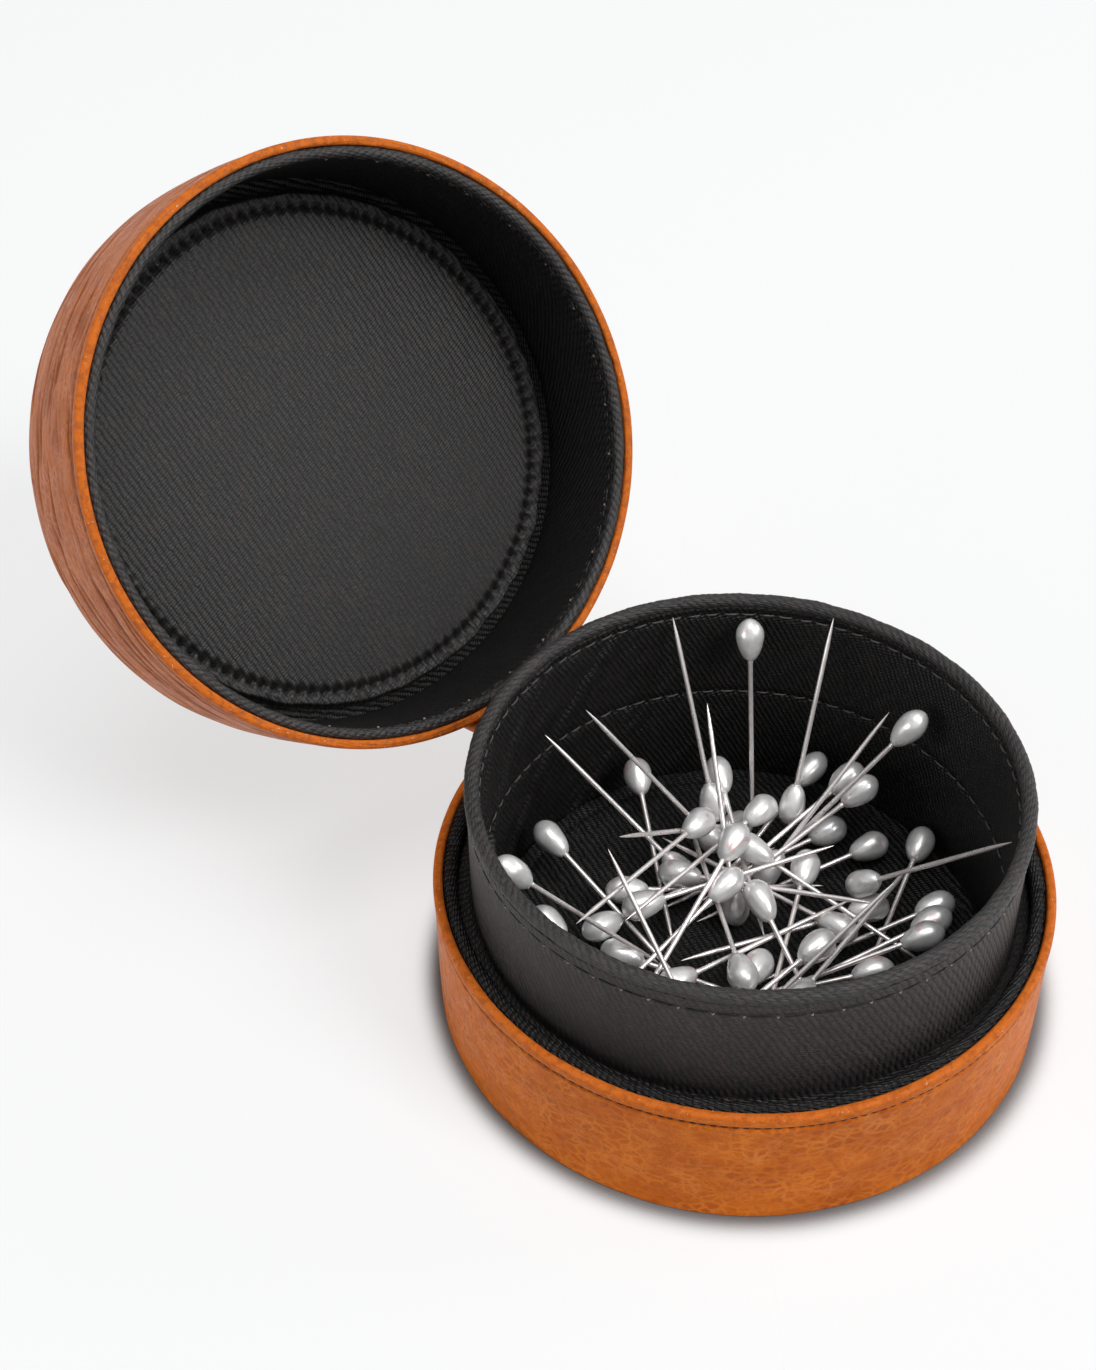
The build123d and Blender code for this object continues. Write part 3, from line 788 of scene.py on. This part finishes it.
def dress_bowl_floor():
    """The floor's cover, pinched near its rim, waved outside that and tucked down at the wall."""
    radius = bowl_floor.outer
    seam = radius - floor_seam_inset

    def level(turn, spread):
        pinch = 0.35 * bell(spread, seam, 0.7)
        drop = (bowl_floor.high - bowl_pad.low - 0.1) * smooth(radius - 0.8, radius, spread) ** 2
        waves = 0.12 * ripple(turn, (23, 37, 51), 61) * smooth(seam - 1, radius, spread)
        return spread, bowl_floor.high - 0.05 - pinch - drop - np.abs(waves)

    radii = np.concatenate([np.linspace(0.5, seam - 1.5, 24), np.linspace(seam - 1.2, radius, 22)])
    piece = disc("bowl_floor_cushion", radii, "base", level, 70)
    finish_piece(piece, "base", welt_black, "floor_lining", "floor_pad")


def dress_base_lining():
    low, high, inner, outer = base_lining.low, base_lining.high, base_lining.inner, base_lining.outer
    profile = soft_profile([(inner, low), (inner, high), (outer, high), (outer, low)], 2.0)
    piece = turned("base_lining_cloth", profile, 360, "base", lean=30)
    finish_piece(piece, "base", shaded_lining_black, "base_shell_lining")


# Lid linings and pad

def dress_lid_linings():
    """The wall's lining, gathered along its seam under the welt, and the cloth round the pad."""
    seam = lid_welt.high + 1.0
    low, high, inner, outer = lid_lining.low - 0.1, lid_lining.high, lid_lining.inner, lid_lining.outer
    profile = soft_profile([(inner, high), (inner, low), (outer, low), (outer, high)], 0.45)

    def shape(turn, radius, level):
        waves = 0.12 * np.abs(ripple(turn, (5, 9, 16, 27), 71))
        near = np.exp(-np.clip(level - seam, 0, None) / 5.0)
        gathers = 0.22 * near * np.abs(np.sin(turn * 110 + 0.5 * ripple(turn, (3, 8, 13), 72)))
        return radius + (radius < inner + 0.2) * (0.18 * bell(level, seam, 0.4) - waves - gathers), level

    piece = turned("lid_lining_cloth", profile, 1600, "lid", shape, 48, pitch=1.0)
    finish_piece(piece, "lid", shaded_lining_black, "lid_wall_lining")
    count = round(FULL_TURN * inner / lid_stitch_pitch)
    for name, level in (("lid_upper_stitches", seam), ("lid_lower_stitches", seam + 0.9)):
        place = ring_place(inner + 0.05, level, -1)
        stitches(name, "lid", grey_thread, count, place, 3.0, 0.12, 0.08, 0, 12)
    count = round(FULL_TURN * inner / lid_knot_pitch)
    place = ring_place(inner - 0.05, seam, -1)
    stitches("lid_stitch_knots", "lid", pale_thread, count, place, 0.6, 0.2, 0.2, 30, 14)

    def level(turn, spread):
        return spread, np.full_like(spread, lid_ceiling.low)

    piece = disc("lid_ceiling_cloth", np.linspace(1, lid_ceiling.outer, 30), "lid", level, 40)
    finish_piece(piece, "lid", shaded_lining_black, "lid_top_lining")


def pad_level(turn, spread):
    """The pad's open face: crowned, drawn in along its stitches and puckered outside them."""
    radius = lid_pad.outer
    crown = 0.9 * np.clip(1 - (spread / pad_seam) ** 2, 0, 1) ** 0.7
    pinch = 0.85 * bell(spread, pad_seam, 0.8)
    pulls = 0.5 * np.cos(turn * pad_stitch_count) * bell(spread, pad_seam, 1.1)
    outside = smooth(pad_seam, radius - 0.4, spread)
    pucker = 0.28 * ripple(turn, (19, 31, 47, 62), 81) * outside
    roll = 1.9 * smooth(radius - 1.3, radius, spread) ** 2
    hollow = 0.08 * ripple(turn, (2, 3, 5), 82) * np.clip(spread / pad_seam, 0, 1) ** 2
    wander = 0.22 * ripple(turn, (7, 13, 22, 35), 83) * smooth(pad_seam, radius, spread)
    height = lid_pad.low + 0.75 - crown + pinch + pulls + pucker + roll + hollow
    return spread - 0.3 * outside + wander, height


def dress_lid_pad():
    outside = np.linspace(pad_seam - 1.8, lid_pad.outer, 46)
    radii = np.concatenate([np.linspace(0.6, pad_seam - 2, 40), outside])
    piece = disc("lid_pad_cushion", radii, "lid", pad_level, pad_lean, pad_stitch_count * 10)
    finish_piece(piece, "lid", pad_black, "lid_pad_cover", "lid_pad_filling")

    def place(angle):
        at, height = pad_level(np.array([[angle]]), np.array([[pad_seam]]))
        out, ahead = directions(angle)
        return out * float(at[0, 0]) + Vector((0, 0, float(height[0, 0]) - 0.05)), ahead, Vector((0, 0, -1))

    stitches("lid_pad_stitches", "lid", dull_thread, pad_stitch_count, place, 1.9, 0.36, 0.12, 38, 13)


# Hinge strap

def strap_point(x, level, depth, body):
    """A point of the strap on the closed case: flat on the leather, and straight near the tilted hinge."""
    flat = float(smooth(1.0, 5.0, abs(level - hinge_place.z)))
    radius = (base_wall.outer if body == "base" else lid_wall.outer) + 0.08 + depth
    curved = math.sqrt(radius * radius - x * x)
    straight = hinge_place.y - strap_thickness / 2 - 0.1 + depth
    tilt = x * math.tan(math.asin(-hinge_axis.z)) * (1 - flat)
    return Vector((x, curved * flat + straight * (1 - flat), level + tilt))


def strap_side(depth, bottom, top, columns):
    """Rows of points on one side of the open strap, from its lower end over the fold to its upper end."""
    pivot = hinge_place.z
    fold_half = 1.2
    steps = 26
    fold_steps = 12
    across = np.linspace(-strap_width / 2, strap_width / 2, columns)

    def leaf(body, start, end):
        levels = [start + (end - start) * number / steps for number in range(steps + 1)]
        return [[strap_point(x, level, depth, body) for x in across] for level in levels]

    rows = leaf("base", bottom, pivot - fold_half)
    lid_rows = [[opened @ point for point in row] for row in leaf("lid", pivot + fold_half, top)]
    before = rows[-1]
    for number in range(1, fold_steps):
        share = number / fold_steps
        onward = about_hinge(open_turn * share)
        back = about_hinge(-open_turn * (1 - share))
        pairs = zip(before, lid_rows[0])
        rows.append([(onward @ near) * (1 - share) + (back @ far) * share for near, far in pairs])
    return rows + lid_rows


def dress_strap():
    """One leather strap from the base's back, over the fold, to the lid's back, sewn round three sides."""
    columns = 19
    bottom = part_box("hinge_strap_base")[0].z / MM
    top = hinge_place.z + strap_lid_length
    sides = [strap_side(depth, bottom, top, columns) for depth in (0.0, strap_thickness)]
    points = [point for rows in sides for row in rows for point in row]
    layer = len(points) // 2
    under, over = np.arange(2 * layer).reshape(2, -1, columns)
    grid = np.stack([under[:-1, :-1], under[:-1, 1:], under[1:, 1:], under[1:, :-1]], axis=-1).reshape(-1, 4)
    faces = [grid[:, ::-1], grid + layer]
    for end in (0, -1):
        edge = np.stack([under[:-1, end], under[1:, end], over[1:, end], over[:-1, end]], axis=-1)
        faces.append(edge if end else edge[:, ::-1])
        edge = np.stack([under[end, :-1], under[end, 1:], over[end, 1:], over[end, :-1]], axis=-1)
        faces.append(edge[:, ::-1] if end else edge)
    faces = np.concatenate(faces)
    row, column = np.divmod(faces % layer, columns)
    weave = np.stack([column, row * 0.7], axis=-1)
    obj = make_mesh("hinge_strap", np.array(points), faces.tolist(), "base", weave)
    obj.data.materials.append(tan)
    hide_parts("hinge_strap_base", "hinge_strap_lid")
    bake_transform(obj)
    sew_strap("base", bottom + strap_seam_inset, hinge_place.z - 5.5)
    sew_strap("lid", top - strap_seam_inset, hinge_place.z + 5.5)


def sew_strap(body, far, near):
    """Stitches down one side of a leaf, across its end and up the other side."""
    inset = strap_width / 2 - strap_seam_inset
    way = 1 if near > far else -1
    drop = abs(near - far)
    whole = 2 * drop + 2 * inset

    def seam_point(run):
        """A point so many mm along the seam."""
        if run < drop:
            x, level = -inset, near - way * run
        elif run < drop + 2 * inset:
            x, level = run - drop - inset, far
        else:
            x, level = inset, far + way * (run - drop - 2 * inset)
        return strap_point(x, level, strap_thickness, body)

    def place(angle):
        run = angle % FULL_TURN / FULL_TURN * whole
        here = seam_point(run)
        ahead = (seam_point(min(run + 0.3, whole)) - seam_point(max(run - 0.3, 0.0))).normalized()
        out = Vector((here.x, here.y, 0)).normalized()
        return here - out * 0.05, ahead, out

    count = round(whole / strap_stitch_pitch)
    stitches(f"strap_{body}_stitches", body, brown_thread, count, place, 1.9, 0.22, 0.12, 0, 15)


# Pins

def loose_parts(node):
    """The points of each separate part of a CAD node, in mm."""
    points = np.array([v.co for v in node.data.vertices]) / MM
    keys = {}
    same = [keys.setdefault(tuple(point), len(keys)) for point in np.round(points, 3)]
    owner = list(range(len(keys)))

    def root(item):
        while owner[item] != item:
            owner[item] = owner[owner[item]]
            item = owner[item]
        return item

    for edge in node.data.edges:
        first, second = (root(same[vertex]) for vertex in edge.vertices)
        owner[first] = second
    groups = {}
    for number in range(len(points)):
        groups.setdefault(root(same[number]), []).append(number)
    return [points[members] for members in groups.values()]


def pin_lines():
    """Each pin's neck end and tip, read from its steel shaft: the tip is the thinner end."""
    pins = []
    for points in loose_parts(frame["nodes"]["pin_shafts"]):
        middle = points.mean(axis=0)
        way = np.linalg.svd(points - middle)[2][0]
        run = (points - middle) @ way
        ends = []
        for sign in (-1, 1):
            near_end = points[run * sign > (run * sign).max() - 0.05]
            centre = near_end.mean(axis=0)
            ends.append((centre, np.linalg.norm(near_end - centre, axis=1).max()))
        ends.sort(key=lambda item: -item[1])
        pins.append((Vector(ends[0][0]), Vector(ends[1][0])))
    return pins


def head_section(stretch, fat):
    """A teardrop's (distance from the neck, radius) from the round end to the neck."""
    points = []
    parts = 24
    for part in range(parts + 1):
        along = 0.5 + 0.5 * math.cos(part / parts * math.pi)
        blunt = 0.30 + 0.20 * float(smooth(0.3, 0.8, along))
        radius = head_radius * fat * math.sin(math.pi * along**1.4) ** blunt if 0 < part < parts else 0.0
        points.append((head_length * stretch * along, radius))
    return points


def lathe_on(lists, section, origin, way, sides, wobble=0.0, seed=0):
    """Adds a piece turned about a pin's own axis to lists of points, faces and weave places."""
    points, faces, weave = lists
    side_way = way.orthogonal().normalized()
    other_way = way.cross(side_way)
    start = len(points)
    phase = np.random.default_rng(seed).uniform(0, FULL_TURN)
    for station, radius in section:
        for side in range(sides):
            turn = FULL_TURN * side / sides
            across = side_way * math.cos(turn) + other_way * math.sin(turn)
            uneven = 1 + wobble * math.sin(2 * turn + phase + station)
            points.append(origin + way * station + across * (radius * uneven))
    faces += tube_faces(start, len(section), sides)
    for (below, _), (above, _) in zip(section, section[1:]):
        for side in range(sides):
            left, right = side / sides, (side + 1) / sides
            weave += [(left, below), (right, below), (right, above), (left, above)]


def dress_pins():
    spread = np.random.default_rng(5)
    heads = [], [], []
    shafts = [], [], []
    for number, (neck, tip) in enumerate(pin_lines()):
        way = (tip - neck).normalized()
        stretch = spread.uniform(0.94, 1.02)
        fat = spread.uniform(0.95, 1.03)
        section = [(-station, radius) for station, radius in head_section(stretch, fat)]
        lathe_on(heads, section, neck + way * neck_cover, way, 28, 0.025, number)
        length = (tip - neck).length
        section = [(-1.5, shaft_radius), (0.8, shaft_radius), (1.1, neck_bead_radius), (1.5, shaft_radius)]
        section += [(length * 0.5, shaft_radius), (length - 5.0, 0.40), (length - 2.4, 0.28)]
        section += [(length - 0.8, 0.13), (length, 0.03)]
        lathe_on(shafts, section, neck, way, 12)
    piece = make_mesh("pearl_heads", np.array(heads[0]), heads[1], "base", heads[2])
    finish_piece(piece, "base", pearl_lacquer, "pin_heads")
    piece = make_mesh("steel_shafts", np.array(shafts[0]), shafts[1], "base", shafts[2])
    finish_piece(piece, "base", pin_steel, "pin_shafts")


def dress_boards():
    for name in ("base_floor_board", "base_wall_board", "collar_board", "lid_top_board", "lid_wall_board"):
        cover(name, board)


# Studio

def add_camera():
    data = bpy.data.cameras.new("photo_camera")
    data.lens = camera_lens
    data.sensor_width = 36.0
    data.clip_start = 0.01
    heading, pitch, roll = (math.radians(angle) for angle in (camera_heading, camera_pitch, camera_roll))
    out = directions(heading)[0]
    ahead = out * math.cos(pitch) + Vector((0, 0, math.sin(pitch)))
    level_right = ahead.cross(Vector((0, 0, 1))).normalized()
    level_up = level_right.cross(ahead)
    right = level_right * math.cos(roll) + level_up * math.sin(roll)
    up = level_up * math.cos(roll) - level_right * math.sin(roll)
    turn = Matrix((right, up, -ahead)).transposed().to_4x4()
    camera = add_object("photo_camera", data)
    camera.matrix_world = Matrix.Translation(Vector(camera_place) * MM) @ turn
    bpy.context.scene.camera = camera


def add_floor():
    """White paper that glows a little, with a painted contact shadow darkening its colour and glow where the
    case touches it, and fades into the backdrop.
    """
    mesh = bpy.data.meshes.new("floor")
    reach = floor_reach * MM
    corners = [(-reach, -reach, 0), (reach, -reach, 0), (reach, reach, 0), (-reach, reach, 0)]
    mesh.from_pydata(corners, [], [(0, 1, 2, 3)])
    floor = add_object("floor", mesh)
    mat, tree, shader = new_material("white_floor")
    path = tree.nodes.new("ShaderNodeLightPath")
    span = tree.nodes.new("ShaderNodeVectorMath")
    span.operation = "LENGTH"
    put(tree, span.inputs[0], coordinates(tree))
    far = ramp(tree, span.outputs["Value"], 0.45, 1.3)
    # Painted contact shadow: ambient occlusion near the case darkens the paper's colour and its glow
    contact = tree.nodes.new("ShaderNodeAmbientOcclusion")
    contact.samples = 12
    put(tree, contact.inputs["Distance"], contact_reach * MM)
    shade = ramp(tree, contact.outputs["AO"], 0.53, 1.0)
    seen = calc(tree, "MAXIMUM", path.outputs["Is Camera Ray"], path.outputs["Is Glossy Ray"])
    # The paper's colour as the camera sees it: dark grey in the painted contact shadow, and elsewhere
    # slightly cool, painted to cancel the leather's warm bounce light
    near = mixed(tree, shade, (0.17, 0.17, 0.17), (0.342, 0.350, 0.354))
    paper = mixed(tree, seen, (0.58, 0.58, 0.58), near)
    glow_in_painted_shadow = calc(tree, "MULTIPLY", shade, floor_glow)
    glow = calc(tree, "MULTIPLY_ADD", far, calc(tree, "SUBTRACT", backdrop_level, glow_in_painted_shadow), glow_in_painted_shadow)
    fill(tree, shader, {
        "Base Color": mixed(tree, far, paper, (0, 0, 0)),
        "Roughness": 0.9,
        "Specular IOR Level": 0.0,
        "Emission Color": (1, 1, 1, 1),
        "Emission Strength": calc(tree, "MULTIPLY", seen, glow),
    })
    mesh.materials.append(mat)


def add_world():
    """A white backdrop for the camera, dimmer in gloss and dimmer still as light on the case."""
    world = bpy.data.worlds.new("studio")
    bpy.context.scene.world = world
    world.use_nodes = True
    tree = world.node_tree
    path = tree.nodes.new("ShaderNodeLightPath")
    to_camera = path.outputs["Is Camera Ray"]
    seen = calc(tree, "MULTIPLY_ADD", to_camera, backdrop_level - world_level, world_level)
    strength = calc(tree, "MULTIPLY_ADD", path.outputs["Is Glossy Ray"], world_gloss - world_level, seen)
    fill(tree, tree.nodes["Background"], {"Color": (1, 1, 1, 1), "Strength": strength})


def add_lamp(name, place, size, power):
    """A square lamp of so many mm and watts that points at the case."""
    data = bpy.data.lights.new(name, "AREA")
    data.shape = "SQUARE"
    data.size = size * MM
    data.energy = power
    lamp = add_object(name, data)
    lamp.location = Vector(place) * MM
    way = Vector((0, 20, 30)) - Vector(place)
    lamp.rotation_euler = way.to_track_quat("-Z", "Y").to_euler()


def add_lamps():
    add_lamp("overhead", (-60, -150, 2600), 1500, 25)
    add_lamp("key", (350, -1900, 2000), 1000, 40)
    add_lamp("side", (-2330, 700, 640), 1260, 17)
    add_lamp("right", (2300, -1100, 900), 1260, 14)


dress_leather()
dress_leather_stitches()
dress_rolls()
dress_collar()
dress_bowl()
dress_bowl_floor()
dress_base_lining()
dress_lid_linings()
dress_lid_pad()
dress_strap()
dress_pins()
dress_boards()
add_camera()
add_floor()
add_world()
add_lamps()
bpy.context.scene.view_settings.view_transform = "Standard"
